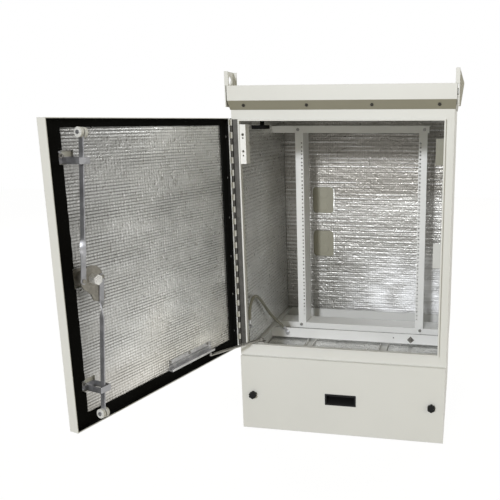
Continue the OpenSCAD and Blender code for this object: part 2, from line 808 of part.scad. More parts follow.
module track_screws() {
    color("dimgray") in_door() for (i = [0.06, 0.5, 0.94])
        translate([pin_x + track_u0 + i * track_l, skin_in, track_z1 - 6]) rotate([-90, 0, 0]) {
            cylinder(r = 2.4, h = 2.5);
            translate([0, 0, 2]) cylinder(r = 4.5, h = 3);
        }
}

module stay_arm() {
    color("silver") in_frame() translate([stay_x, stay_deep, arm_z]) rotate(arm_turn) difference() {
        union() {
            translate([0, -6, 0]) cube([arm_l, 12, arm_t]);
            cylinder(r = 9, h = arm_t);
            translate([arm_l, 0, 0]) cylinder(r = 6, h = arm_t);
            translate([arm_l, 0, arm_t - 0.5]) cylinder(r = 4, h = 7);
        }
        translate([0, 0, -1]) cylinder(r = stay_pin_r + run, h = arm_t + 2);
    }
}

// Lock in the door
module at_lock(turn) {
    in_door() translate([lock_x, 0, dzm]) rotate([0, turn, 0]) translate([-lock_x, 0, -dzm]) children();
}

module lock_case() {
    color("silver") in_door() difference() {
        union() {
            rod_y([lock_x, dzm], 24, skin_in, skin_in + 3);
            rod_y([lock_x, dzm], 15, skin_in + 2, cam_y0 - 1);
            block([lock_x - 22, door_out - 4, dzm - 70], [lock_x + 22, door_out, dzm + 34]);
            rod_y([lock_x, dzm], 11, door_out - 1, skin_in + 1);
        }
        rod_y([lock_x, dzm], 8 + run, door_out - 5, cam_y0);
    }
}

module lock_cam() {
    color("silver") at_lock(lock_back) difference() {
        union() {
            along_y(cam_y0, cam_y1) union() {
                translate([lock_x, dzm]) circle(34);
                polygon([
                    [lock_x - 6, dzm + 33], [lock_x + 22, dzm + 26],
                    [lock_x + 40, dzm + 6], [lock_x + 57, dzm - 1],
                    [lock_x + 63, dzm - 14], [lock_x + 61, dzm - 36],
                    [lock_x + 46, dzm - 37], [lock_x + 12, dzm - 31]
                ]);
            }
            for (s = [-1, 1]) {
                rod_y([lock_x, dzm + s * cam_throw], rivet_r, cam_y1 - 0.5, cam_y1 + rod_t + 1);
                rod_y([lock_x, dzm + s * cam_throw], rivet_r + 1.5, cam_y1 + rod_t + 1, cam_y1 + rod_t + 3);
            }
        }
        rod_y([lock_x, dzm], 8 + run, cam_y0 - 1, cam_y1 + 1);
    }
}

handle_l = 115;
module lock_handle() {
    color("dimgray") at_lock(lock_back) {
        rod_y([lock_x, dzm], 8, door_out - 10, cam_y1 + 24);
        hex_y([lock_x, dzm], 24, cam_y1 + seam, cam_y1 + 22);
        rod_y([lock_x, dzm], 17, door_out - 22, door_out - 4.5);
        along_y(door_out - 22, door_out - 12) polygon([
            [lock_x - 15, dzm], [lock_x + 15, dzm], [lock_x + 11, dzm - handle_l], [lock_x - 11, dzm - handle_l]
        ]);
        rod_y([lock_x, dzm - handle_l], 11, door_out - 22, door_out - 12);
    }
}

// Rods with a quarter twist between cam and guide
module rod_bar(len) {
    flat = 60;
    twist = 46;
    difference() {
        union() {
            translate([-rod_w / 2, -rod_t / 2, 0]) cube([rod_w, rod_t, flat]);
            translate([0, rod_t / 2, 0]) rotate([90, 0, 0]) cylinder(r = rod_w / 2 + 1, h = rod_t);
            translate([0, 0, flat - 0.01]) linear_extrude(twist + 0.02, twist = 90, slices = 10)
                square([rod_w, rod_t], center = true);
            translate([-rod_t / 2, -rod_w / 2, flat + twist]) cube([rod_t, rod_w, len - flat - twist]);
            translate([-rod_t / 2, 0, len]) rotate([0, 90, 0]) cylinder(r = rod_w / 2, h = rod_t);
        }
        translate([0, rod_t, 0]) rotate([90, 0, 0]) cylinder(r = rivet_r + run, h = 3 * rod_t);
    }
    translate([-11, 0, len]) rotate([0, 90, 0]) cylinder(r = 3.5, h = 22);
    for (s = [-1, 1])
        translate([s * 11.5 - 1, 0, len]) rotate([0, 90, 0]) cylinder(r = 5, h = 2);
}

module upper_rod() {
    color("silver") in_door() translate([up_pin.x, rod_deep, up_pin.y]) rotate([0, -lean, 0]) rod_bar(rod_len);
}

module lower_rod() {
    color("silver") in_door() translate([low_pin.x, rod_deep, low_pin.y]) rotate([0, 180 - lean, 0])
        rod_bar(rod_len);
}

module roller_pair() {
    for (x = [-10, 2.3])
        translate([x, 0, rod_len]) rotate([0, 90, 0]) difference() {
            cylinder(r = roller_r, h = 7.7);
            translate([0, 0, -1]) cylinder(r = 3.5 + run, h = 10);
        }
}

module upper_rollers() {
    color("white") in_door() translate([up_pin.x, rod_deep, up_pin.y]) rotate([0, -lean, 0]) roller_pair();
}

module lower_rollers() {
    color("white") in_door() translate([low_pin.x, rod_deep, low_pin.y]) rotate([0, 180 - lean, 0])
        roller_pair();
}

// Plinth cover
cover_y0 = -cover_d - seam;
module square_at(w, h) {
    translate([0, knob_z]) square([w, h], center = true);
}

module plinth_cover() {
    color("ivory") in_frame() difference() {
        block([-pw, cover_y0, 3], [pw, -seam, plinth_h]);
        block([-pw + sheet, cover_y0 + sheet, 3 + sheet], [pw - sheet, 1, plinth_h - sheet]);
        along_y(cover_y0 - 1, cover_y0 + sheet + 1) square_at(pull_w - 6, pull_h - 6);
        for (s = [-1, 1])
            rod_y([s * knob_gap / 2, knob_z], stud_r + 0.5, cover_y0 - 1, cover_y0 + sheet + 1);
    }
}

module pull_handle() {
    color("black") in_frame() difference() {
        union() {
            along_y(cover_y0 - 2, cover_y0) square_at(pull_w, pull_h);
            along_y(cover_y0 - 1, cover_y0 + 26) square_at(pull_w - 6.6, pull_h - 6.6);
        }
        along_x(-pull_w / 2 + 6, pull_w / 2 - 6) polygon([
            [cover_y0 - 3, knob_z - pull_h / 2 + 6], [cover_y0, knob_z - pull_h / 2 + 6],
            [cover_y0 + 23, knob_z + 2], [cover_y0 + 23, knob_z + pull_h / 2 - 6],
            [cover_y0 - 3, knob_z + pull_h / 2 - 6]
        ]);
    }
}

module knob(s) {
    p = [s * knob_gap / 2, knob_z];
    color("black") in_frame() {
        difference() {
            rod_y(p, knob_r, cover_y0 - 17, cover_y0 - 4);
            for (a = [0 : 60 : 300])
                rod_y(p + (knob_r + 1.5) * [cos(a), sin(a)], 3.5, cover_y0 - 18, cover_y0 - 3);
        }
        rod_y(p, knob_r - 5, cover_y0 - 4.5, cover_y0 - seam);
        rod_y(p, stud_r, cover_y0 - 2, 14);
    }
}

module left_knob() {
    knob(-1);
}

module right_knob() {
    knob(1);
}

door_frame();
left_side();
right_side();
rear_panel();
ceiling_panel();
floor_plate();
roof_hood();
roof_battens();
hood_screws();
left_ear();
right_ear();
plinth_box();
left_pad();
right_pad();
rear_pad();
ceiling_pad();
floor_pads();
left_rail();
right_rail();
top_bar();
bottom_bar();
front_bar();
rack_screws();
floor_channels();
left_bracket();
right_brackets();
ceiling_block();
earth_stud();
earth_lugs();
earth_cable();
roller_keepers();
stay_bracket();
hinge_frame_leaf();
hinge_pin();
door_pan();
door_seal();
door_pad();
hinge_door_leaf();
hinge_rivets();
rod_guides();
guide_bolts();
stay_track();
track_screws();
lock_case();
lock_cam();
lock_handle();
upper_rod();
lower_rod();
upper_rollers();
lower_rollers();
stay_arm();
plinth_cover();
pull_handle();
left_knob();
right_knob();
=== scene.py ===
import math

import bpy
import numpy as np
from mathutils import Matrix, Vector, noise


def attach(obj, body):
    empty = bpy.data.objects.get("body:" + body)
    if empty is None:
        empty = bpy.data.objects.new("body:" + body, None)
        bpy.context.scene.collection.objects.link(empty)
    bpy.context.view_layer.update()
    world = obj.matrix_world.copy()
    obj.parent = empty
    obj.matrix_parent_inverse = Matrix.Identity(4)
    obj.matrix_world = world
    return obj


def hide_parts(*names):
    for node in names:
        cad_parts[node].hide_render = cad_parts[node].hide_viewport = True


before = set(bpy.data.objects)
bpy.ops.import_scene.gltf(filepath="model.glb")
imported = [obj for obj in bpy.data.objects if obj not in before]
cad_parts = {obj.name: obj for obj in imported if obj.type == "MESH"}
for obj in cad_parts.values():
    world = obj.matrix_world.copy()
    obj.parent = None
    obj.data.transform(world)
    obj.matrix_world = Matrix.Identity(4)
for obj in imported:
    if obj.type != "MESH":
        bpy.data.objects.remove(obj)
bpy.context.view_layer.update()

# Places of the cabinet, in metres in the shared frame
FRONT = -0.295
HINGE_X = -0.363
HINGE = Vector((HINGE_X, FRONT - 0.0083, 0.0))
DOOR_OPEN = math.radians(105.5)
DOOR = (Matrix.Translation(HINGE) @ Matrix.Rotation(-DOOR_OPEN, 4, "Z")
        @ Matrix.Translation(-HINGE))
DOOR_SKIN = FRONT - 0.029
LOCK_X, LOCK_Z = 0.277, 0.7075
GUIDE_Z = (0.4155, 0.9995)
HOOD_EDGE_Z = 1.1555
REAR_FACE_Y, REAR_FOOT_Z = 0.2935, 0.45
UPPER_BRACKET_Z = 0.8

# Base colours
CREAM = (0.745, 0.745, 0.72, 1)
# FOIL and its brighter copy are one foil; the copy for the door and floor pads is painted brighter
# for the light they get
FOIL = (0.78, 0.78, 0.76, 1)
BRIGHTENED_FOIL = (0.93, 0.93, 0.91, 1)
WHITE = (1, 1, 1, 1)


# Finishes
def new_finish(name, roughness, metallic=0.0):
    """An empty finish with its shader's plain values set."""
    finish = bpy.data.materials.new(name)
    finish.use_nodes = True
    shader = finish.node_tree.nodes["Principled BSDF"]
    shader.inputs["Roughness"].default_value = roughness
    shader.inputs["Metallic"].default_value = metallic
    return finish, finish.node_tree, shader


def add(tree, kind, inputs=None, **settings):
    """A node with its settings and plain input values."""
    made = tree.nodes.new(kind)
    for key, value in settings.items():
        setattr(made, key, value)
    for key, value in (inputs or {}).items():
        made.inputs[key].default_value = value
    return made


def ramp(tree, source, stops):
    """A colour ramp over a grey source, from (place, colour) stops."""
    made = tree.nodes.new("ShaderNodeValToRGB")
    elements = made.color_ramp.elements
    while len(elements) < len(stops):
        elements.new(0.5)
    for element, (place, colour) in zip(elements, stops):
        element.position = place
        element.color = colour
    tree.links.new(source, made.inputs["Fac"])
    return made.outputs["Color"]


def shade(colour, k):
    """The same colour, darker or lighter."""
    return (colour[0] * k, colour[1] * k, colour[2] * k, 1)


def mix_by_attribute(tree, label, under, over):
    """Lays the plain colour over on the colour under, by a point attribute of the mesh."""
    mixed = add(tree, "ShaderNodeMix", {"B": over}, data_type="RGBA")
    share = add(tree, "ShaderNodeAttribute", attribute_name=label)
    tree.links.new(share.outputs["Fac"], mixed.inputs["Factor"])
    tree.links.new(under, mixed.inputs["A"])
    return mixed.outputs["Result"]


def bumped(tree, shader, height, strength, distance, rounded=0.0):
    """Lets a grey height stand out of the surface, with edges softened to a radius."""
    bump = add(tree, "ShaderNodeBump", {"Strength": strength, "Distance": distance})
    tree.links.new(height, bump.inputs["Height"])
    if rounded:
        soft_edge = add(tree, "ShaderNodeBevel", {"Radius": rounded}, samples=6)
        tree.links.new(soft_edge.outputs["Normal"], bump.inputs["Normal"])
    tree.links.new(bump.outputs["Normal"], shader.inputs["Normal"])


def powder_coat(name, colour, painted_shade=None, limits=()):
    """Powder coat with a fine orange peel.

    The optional second tone is painted shade, laid on the part within the limits, each given as
    (axis, test, place)."""
    finish, tree, shader = new_finish(name, 0.42)
    place = add(tree, "ShaderNodeTexCoord").outputs["Object"]
    tone = add(tree, "ShaderNodeTexNoise", {"Scale": 2.6, "Detail": 4.0})
    peel = add(tree, "ShaderNodeTexNoise", {"Scale": 620.0, "Detail": 2.0})
    tree.links.new(place, tone.inputs["Vector"])
    tree.links.new(place, peel.inputs["Vector"])
    paint = ramp(tree, tone.outputs["Fac"], [(0.3, shade(colour, 0.955)), (0.7, colour)])
    bumped(tree, shader, peel.outputs["Fac"], 0.10, 0.0006, 0.0012)
    # Painted shade: a darker second tone laid where shade falls, on the part within the limits
    if painted_shade:
        parts = add(tree, "ShaderNodeSeparateXYZ")
        tree.links.new(place, parts.inputs["Vector"])
        share = None
        for axis, test, limit in limits:
            within = add(tree, "ShaderNodeMath", {1: limit}, operation=test)
            tree.links.new(parts.outputs[axis], within.inputs[0])
            if share:
                both = add(tree, "ShaderNodeMath", operation="MULTIPLY")
                tree.links.new(share, both.inputs[0])
                tree.links.new(within.outputs["Value"], both.inputs[1])
                within = both
            share = within.outputs["Value"]
        painted_shade_tone = ramp(tree, tone.outputs["Fac"], [(0.3, shade(painted_shade, 0.88)), (0.7, painted_shade)])
        mixed = add(tree, "ShaderNodeMix", data_type="RGBA")
        tree.links.new(share, mixed.inputs["Factor"])
        tree.links.new(paint, mixed.inputs["A"])
        tree.links.new(painted_shade_tone, mixed.inputs["B"])
        paint = mixed.outputs["Result"]
    tree.links.new(paint, shader.inputs["Base Color"])
    return finish


def foil_face(name, colour, dark, least_groove_shade):
    """Crinkled aluminium foil over rows of small bubbles.

    The pad's own attributes lay on a browner foot, painted shade in patches, painted highlights
    along the crests of the rows, painted shade dotted into the grooves and a painted highlight at a
    corner."""
    finish, tree, shader = new_finish(name, 0.3, 0.85)
    place = add(tree, "ShaderNodeTexCoord").outputs["UV"]
    bubbles = add(tree, "ShaderNodeTexVoronoi", {"Scale": 105.0, "Randomness": 0.25},
                  feature="SMOOTH_F1", voronoi_dimensions="2D")
    crinkle = add(tree, "ShaderNodeTexNoise",
                  {"Scale": 75.0, "Detail": 6.0, "Roughness": 0.65, "Distortion": 0.6})
    cloud = add(tree, "ShaderNodeTexNoise", {"Scale": 7.0, "Detail": 3.0})
    fleck = add(tree, "ShaderNodeTexNoise", {"Scale": 150.0, "Detail": 2.0})
    for texture in (bubbles, crinkle, cloud, fleck):
        tree.links.new(place, texture.inputs["Vector"])

    warmer = (colour[0] * 1.08, colour[1] * 0.97, colour[2] * 0.82, 1)
    # A pale tone for painted highlights
    highlight_tone = tuple(min(0.96, part * 1.6) for part in colour[:3]) + (1,)
    tone = ramp(tree, cloud.outputs["Fac"],
                [(0.3, shade(colour, 0.84)), (0.7, shade(colour, 1.08))])
    tone = mix_by_attribute(tree, "warm", tone, warmer)
    # Painted shade in patches, then painted highlights along the crests of the rows
    tone = mix_by_attribute(tree, "painted_shade", tone, shade(dark, 1.3))
    tone = mix_by_attribute(tree, "crest_highlight", tone, highlight_tone)

    # Painted shade in the grooves, dotted with flecks of less shade
    dots = ramp(tree, fleck.outputs["Fac"],
                [(0.40, (least_groove_shade, least_groove_shade, least_groove_shade, 1)), (0.62, (0.97, 0.97, 0.97, 1))])
    groove = add(tree, "ShaderNodeAttribute", attribute_name="groove")
    groove_strength = add(tree, "ShaderNodeMath", operation="MULTIPLY")
    tree.links.new(dots, groove_strength.inputs[0])
    tree.links.new(groove.outputs["Fac"], groove_strength.inputs[1])
    grooved = add(tree, "ShaderNodeMix", {"B": dark}, data_type="RGBA")
    tree.links.new(groove_strength.outputs["Value"], grooved.inputs["Factor"])
    tree.links.new(tone, grooved.inputs["A"])
    # A painted highlight at a corner of the pad
    tone = mix_by_attribute(tree, "corner_highlight", grooved.outputs["Result"], highlight_tone)
    tree.links.new(tone, shader.inputs["Base Color"])

    rough = add(tree, "ShaderNodeMapRange",
                {"From Min": 0.3, "From Max": 0.7, "To Min": 0.22, "To Max": 0.42})
    tree.links.new(crinkle.outputs["Fac"], rough.inputs["Value"])
    # The corner with the painted highlight is also rougher
    corner_highlight = add(tree, "ShaderNodeAttribute", attribute_name="corner_highlight")
    spread = add(tree, "ShaderNodeMath", {1: 0.3}, operation="MULTIPLY_ADD")
    tree.links.new(corner_highlight.outputs["Fac"], spread.inputs[0])
    tree.links.new(rough.outputs["Result"], spread.inputs[2])
    tree.links.new(spread.outputs["Value"], shader.inputs["Roughness"])
    height = add(tree, "ShaderNodeMath", {1: -0.7}, operation="MULTIPLY_ADD")
    tree.links.new(bubbles.outputs["Distance"], height.inputs[0])
    tree.links.new(crinkle.outputs["Fac"], height.inputs[2])
    bumped(tree, shader, height.outputs["Value"], 0.55, 0.004)
    return finish


def plated_steel(name, colour, roughness, spangle=70.0):
    """Zinc-plated steel with a grain of pale and dull crystals."""
    finish, tree, shader = new_finish(name, roughness, 0.85)
    place = add(tree, "ShaderNodeTexCoord").outputs["Object"]
    crystal = add(tree, "ShaderNodeTexVoronoi", {"Scale": spangle})
    smear = add(tree, "ShaderNodeTexNoise", {"Scale": 35.0, "Detail": 4.0})
    tree.links.new(place, crystal.inputs["Vector"])
    tree.links.new(place, smear.inputs["Vector"])
    both = add(tree, "ShaderNodeMath", operation="MULTIPLY")
    grey = add(tree, "ShaderNodeRGBToBW")
    tree.links.new(crystal.outputs["Color"], grey.inputs["Color"])
    tree.links.new(grey.outputs["Val"], both.inputs[0])
    tree.links.new(smear.outputs["Fac"], both.inputs[1])
    plating = ramp(tree, both.outputs["Value"],
                   [(0.05, shade(colour, 0.78)), (0.5, shade(colour, 1.12))])
    tree.links.new(plating, shader.inputs["Base Color"])
    spread = add(tree, "ShaderNodeMapRange",
                 {"To Min": roughness - 0.08, "To Max": roughness + 0.15})
    tree.links.new(smear.outputs["Fac"], spread.inputs["Value"])
    tree.links.new(spread.outputs["Result"], shader.inputs["Roughness"])
    bumped(tree, shader, smear.outputs["Fac"], 0.08, 0.0008, 0.0008)
    return finish


def grained(name, colour, roughness, scale, strength, depth, rounded=0.001, shine=0.5):
    """Moulded plastic, rubber or foam with a grain of its own."""
    finish, tree, shader = new_finish(name, roughness)
    shader.inputs["Specular IOR Level"].default_value = shine
    place = add(tree, "ShaderNodeTexCoord").outputs["Object"]
    grain = add(tree, "ShaderNodeTexNoise", {"Scale": scale, "Detail": 3.0, "Roughness": 0.6})
    tree.links.new(place, grain.inputs["Vector"])
    skin = ramp(tree, grain.outputs["Fac"], [(0.3, shade(colour, 0.75)), (0.7, shade(colour, 1.2))])
    tree.links.new(skin, shader.inputs["Base Color"])
    bumped(tree, shader, grain.outputs["Fac"], strength, depth, rounded)
    return finish


cream_paint = powder_coat("cream_powder_coat", CREAM)
# The hood's sloped underside gets a darker tone of painted shade
hood_paint = powder_coat("hood_powder_coat", CREAM, (0.29, 0.275, 0.21, 1),
                         [("Z", "LESS_THAN", HOOD_EDGE_Z)])
# The rear panel's inside above its foot, seen in the windows of the rear pad, gets a darker tone of
# painted shade
rear_paint = powder_coat("rear_powder_coat", CREAM, (0.35, 0.335, 0.26, 1),
                         [("Y", "LESS_THAN", REAR_FACE_Y), ("Z", "GREATER_THAN", REAR_FOOT_Z)])
# The upper right bracket gets a darker tone of painted shade
bracket_paint = powder_coat("bracket_powder_coat", CREAM, (0.30, 0.29, 0.225, 1),
                            [("Z", "GREATER_THAN", UPPER_BRACKET_Z)])
# The rack's paint is the cream painted brighter, standing in for the light that falls on it
rack_paint = powder_coat("rack_powder_coat", (0.88, 0.88, 0.86, 1))
hinge_white = powder_coat("hinge_white_paint", (0.80, 0.80, 0.78, 1))
# Each foil's dark tone is the painted shade of its grooves and patches, and the number after it the
# least share of that groove shade
wall_foil = foil_face("wall_foil", FOIL, (0.16, 0.15, 0.13, 1), 0.12)
door_foil_face = foil_face("door_foil_face", BRIGHTENED_FOIL, (0.034, 0.031, 0.026, 1), 0.92)
floor_foil_face = foil_face("floor_foil_face", BRIGHTENED_FOIL, (0.06, 0.056, 0.047, 1), 0.75)
bright_steel = plated_steel("bright_steel", (0.74, 0.73, 0.70, 1), 0.3, 220.0)
galvanised = plated_steel("galvanised_steel", (0.70, 0.70, 0.71, 1), 0.36)
rod_steel = plated_steel("rod_steel", (0.40, 0.40, 0.415, 1), 0.36)
hinge_steel = plated_steel("hinge_steel", (0.11, 0.106, 0.096, 1), 0.55)
cast_zinc = plated_steel("cast_zinc", (0.27, 0.255, 0.22, 1), 0.38, 140.0)
screw_steel = plated_steel("screw_steel", (0.34, 0.33, 0.31, 1), 0.4, 300.0)
stay_steel = plated_steel("stay_steel", (0.36, 0.35, 0.32, 1), 0.48)
dark_steel = plated_steel("dark_steel", (0.06, 0.056, 0.048, 1), 0.5, 300.0)
stud_steel = plated_steel("stud_steel", (0.24, 0.23, 0.21, 1), 0.4, 300.0)
black_foam = grained("black_foam", (0.005, 0.005, 0.0045, 1), 0.95, 480.0, 0.5, 0.002, shine=0.06)
black_plastic = grained("black_plastic", (0.006, 0.006, 0.006, 1), 0.5, 900.0, 0.15, 0.0005,
                        shine=0.18)
black_rubber = grained("black_rubber", (0.006, 0.006, 0.006, 1), 0.8, 700.0, 0.2, 0.0006, shine=0.1)
nylon = grained("white_nylon", (0.70, 0.70, 0.68, 1), 0.4, 300.0, 0.05, 0.0005)
cable_skin = grained("cable_sheath", (0.30, 0.29, 0.235, 1), 0.5, 420.0, 0.25, 0.001, 0.0)

# Nodes that aren't named here are in cream paint
NODES_OF_FINISH = {
    galvanised: "roof_battens roller_keepers stay_track earth_lugs",
    rod_steel: "rod_guides upper_rod lower_rod",
    hinge_steel: "hinge_frame_leaf hinge_pin",
    cast_zinc: "lock_case lock_cam",
    bright_steel: "lock_handle",
    hinge_white: "hinge_door_leaf",
    hood_paint: "roof_hood",
    bracket_paint: "right_brackets",
    rack_paint: "left_rail right_rail top_bar bottom_bar front_bar floor_channels left_bracket",
    rear_paint: "rear_panel",
    dark_steel: "hood_screws",
    stay_steel: "stay_arm stay_bracket",
    screw_steel: "rack_screws hinge_rivets guide_bolts track_screws",
    stud_steel: "earth_stud",
    black_rubber: "ceiling_block",
    black_plastic: "pull_handle left_knob right_knob",
    nylon: "upper_rollers lower_rollers",
    wall_foil: "left_pad right_pad rear_pad ceiling_pad",
    door_foil_face: "door_pad",
    floor_foil_face: "floor_pads",
    black_foam: "door_seal",
    cable_skin: "earth_cable",
}
finish_of_node = {node: finish for finish, nodes in NODES_OF_FINISH.items()
                  for node in nodes.split()}
for node_name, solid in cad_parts.items():
    solid.data.materials.clear()
    solid.data.materials.append(finish_of_node.get(node_name, cream_paint))


# Helpers for the pieces
def start_piece():
    """Leaves edit mode and selects nothing, so that the next primitive is alone."""
    if bpy.context.object and bpy.context.object.mode != "OBJECT":
        bpy.ops.object.mode_set(mode="OBJECT")
    bpy.ops.object.select_all(action="DESELECT")


def end_piece(piece, name, body, finish, slot, *nodes):
    """Names a piece, gives it its finish and body, and lets it stand for its CAD nodes."""
    piece.name = name
    piece.data.name = name
    piece.data.materials.clear()
    piece.data.materials.append(finish)
    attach(piece, body)
    if nodes:
        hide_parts(*nodes)
    return piece


def apply_modifier(piece, kind, **settings):
    """Adds a modifier and applies it."""
    modifier = piece.modifiers.new(kind.lower(), kind)
    for key, value in settings.items():
        setattr(modifier, key, value)
    bpy.context.view_layer.objects.active = piece
    bpy.ops.object.modifier_apply(modifier=modifier.name)


def smooth_faces(piece):
    """Smooth shading that keeps the sharper edges crisp."""
    start_piece()
    piece.select_set(True)
    bpy.context.view_layer.objects.active = piece
    bpy.ops.object.shade_smooth_by_angle(angle=math.radians(40))


def join_pieces(pieces):
    """Joins pieces into the first of them."""
    start_piece()
    for piece in pieces:
        piece.select_set(True)
    bpy.context.view_layer.objects.active = pieces[0]
    bpy.ops.object.join()
    return pieces[0]


# Foil-faced pads: their mesh, the sharpness of their rows and of the painted highlights along
# them, and in metres their room and wear and the reach of a browner foot and a painted highlight
COLUMN_W, FEWEST_CELLS = 0.009, 12
WIDE_PITCH, WIDE_STEPS, NARROW_STEPS = 0.01, 8, 6
GROOVE_POWER, CREST_POWER = 4, 12
DEEP_DENT, FINE_DENT = 0.0011, 0.0007
CREST_ROOM, BACK_ROOM = 0.0012, 0.0035
EDGE_BAND, EDGE_DIP, EDGE_FRAY = 0.006, 0.0008, 0.0016
WARM_TOP, HIGHLIGHT_TOP = 0.2, 0.24
ON_EDGE = 1e-6


def foil_pad(corner, across, up, width, height, thick, seed, cuts=(), place=Matrix.Identity(4),
             wander=0.22, warm=0.0, painted_shade=(0.0, 0.0, 0.0), painted_shadow_top=(0.0, 1.0, 0.0), corner_highlight=0.0,
             rib=0.0012, fade=0.0, pitch=0.0125, crest_highlight_share=0.75, neat=(False, False)):
    """A ribbed pad on the plane of corner, across and up, with cut-outs as (u0, u1, v0, v1).

    place moves the finished pad, wander bends its rows and warm is the brown share at the foot.
    painted_shade is painted shade at the corner and what it gains across and up, painted_shadow_top
    a painted shadow that comes in between two heights, and corner_highlight the share of a painted
    highlight at the far lower corner.
    rib is the depth of the grooves, fade the share of their painted shade that is lost across the
    pad, pitch the spacing of the rows and crest_highlight_share how pale the painted highlights
    along the rows get between the grooves.
    neat says whether the near and the far side are cut straight to meet another pad."""
    start_piece()
    columns = max(FEWEST_CELLS, round(width / COLUMN_W))
    steps = WIDE_STEPS if pitch > WIDE_PITCH else NARROW_STEPS
    rows = max(FEWEST_CELLS, round(height / pitch) * steps)
    bpy.ops.mesh.primitive_grid_add(x_subdivisions=columns, y_subdivisions=rows, size=1)
    pad = bpy.context.object
    mesh = pad.data
    flat = np.empty(len(mesh.vertices) * 3)
    mesh.vertices.foreach_get("co", flat)
    flat = flat.reshape(-1, 3)
    u = (flat[:, 0] + 0.5) * width
    v = (flat[:, 1] + 0.5) * height

    def cloud(across_scale, up_scale, offset):
        """Smooth noise over the pad, at a scale each way."""
        return np.array([noise.noise(Vector((a * across_scale, b * up_scale, seed + offset)))
                         for a, b in zip(u, v)])

    # Height of the foil over the wall: rows, soft dents, and edges that turn down
    wave = np.cos(2 * math.pi * (v / pitch + cloud(4.0, 2.0, 3.1) * wander))
    groove_strength = np.clip(0.75 + cloud(7.0, 22.0, 5.7) * 0.9, 0.15, 1.0)
    groove = (0.5 + 0.5 * wave) ** GROOVE_POWER * groove_strength
    dents = cloud(5.0, 9.0, 0.0) * DEEP_DENT + cloud(26.0, 60.0, 7.3) * FINE_DENT
    edge = np.minimum(np.minimum(u, width - u), np.minimum(v, height - v))
    taper = np.clip(edge / EDGE_BAND, 0.25, 1.0)
    lift = thick - CREST_ROOM + taper * (dents - groove * rib) - (1 - taper) * EDGE_DIP

    # Attributes for the finish: painted highlights along the crests, a browner foot, painted shade
    # with a painted shadow band, a painted highlight at a corner and the painted shade of the
    # grooves
    # Painted highlights along the crests between the grooves, in flecks
    flecks = np.clip(0.2 + cloud(5.0, 40.0, 9.4) * 2.2, 0.0, 1.0)
    crest_highlight = crest_highlight_share * (0.5 - 0.5 * wave) ** CREST_POWER * flecks
    tarnish = warm * np.clip(1.0 - v / WARM_TOP + cloud(9.0, 9.0, 8.2) * 0.6, 0.0, 1.0)
    # Painted shade towards a corner and up, in soft patches, and a painted shadow band between two
    # heights
    shade_share = painted_shade[0] + painted_shade[1] * u / width + painted_shade[2] * v / height + cloud(5.0, 5.0, 6.4) * 0.2
    start, full, most = painted_shadow_top
    rise = np.clip((v - start + cloud(3.0, 3.0, 2.6) * 0.05) / (full - start), 0.0, 1.0)
    shade_share = np.clip(np.clip(shade_share, 0.0, 0.9) + most * rise, 0.0, 0.92)
    # A painted highlight at the far lower corner
    far_side = np.clip((u / width - 0.30) / 0.35, 0.0, 1.0)
    far_corner = far_side * np.clip(1.25 - v / HIGHLIGHT_TOP, 0.0, 1.0)
    corner_highlight_share = np.clip(corner_highlight * far_corner * (1.0 + cloud(14.0, 30.0, 4.9) * 0.9), 0.0, 1.0)
    # The grooves' painted shade fades across the pad
    groove *= 1.0 - fade * u / width
    values_of = {"groove": groove, "crest_highlight": crest_highlight, "warm": tarnish, "painted_shade": shade_share,
                 "corner_highlight": corner_highlight_share}
    for label, values in values_of.items():
        mesh.attributes.new(label, "FLOAT", "POINT").data.foreach_set("value", values)

    # Ragged edges, and the grid laid on its plane
    fray = cloud(70.0, 70.0, 1.7) * EDGE_FRAY
    torn_side = ((u < ON_EDGE) & (not neat[0])) | ((u > width - ON_EDGE) & (not neat[1]))
    torn_end = (v < ON_EDGE) | (v > height - ON_EDGE)
    u = np.clip(u + np.where(torn_side, fray, 0), 0, width)
    v = np.clip(v + np.where(torn_end, fray, 0), 0, height)
    across, up = Vector(across), Vector(up)
    out = across.cross(up)
    spots = np.outer(u, across) + np.outer(v, up) + np.outer(lift, out) + np.array(corner)
    mesh.vertices.foreach_set("co", spots.ravel())
    uv = np.empty(len(mesh.loops) * 2)
    mesh.uv_layers.active.data.foreach_get("uv", uv)
    uv = uv.reshape(-1, 2) * np.array((width, height))
    mesh.uv_layers.active.data.foreach_set("uv", uv.ravel())

    # Cut-outs
    centre = np.empty(len(mesh.polygons) * 3)
    mesh.polygons.foreach_get("center", centre)
    centre = centre.reshape(-1, 3) - np.array(corner)
    cu, cv = centre @ np.array(across), centre @ np.array(up)
    inside = np.zeros(len(mesh.polygons), dtype=bool)
    for u0, u1, v0, v1 in cuts:
        inside |= (cu > u0) & (cu < u1) & (cv > v0) & (cv < v1)
    if inside.any():
        bpy.ops.object.mode_set(mode="EDIT")
        bpy.ops.mesh.select_mode(type="FACE")
        bpy.ops.object.mode_set(mode="OBJECT")
        mesh.polygons.foreach_set("select", inside)
        bpy.ops.object.mode_set(mode="EDIT")
        bpy.ops.mesh.delete(type="FACE")
        bpy.ops.object.mode_set(mode="OBJECT")
    mesh.transform(place)
    apply_modifier(pad, "SOLIDIFY", thickness=thick - rib - BACK_ROOM, offset=-1.0)
    smooth_faces(pad)
    return pad


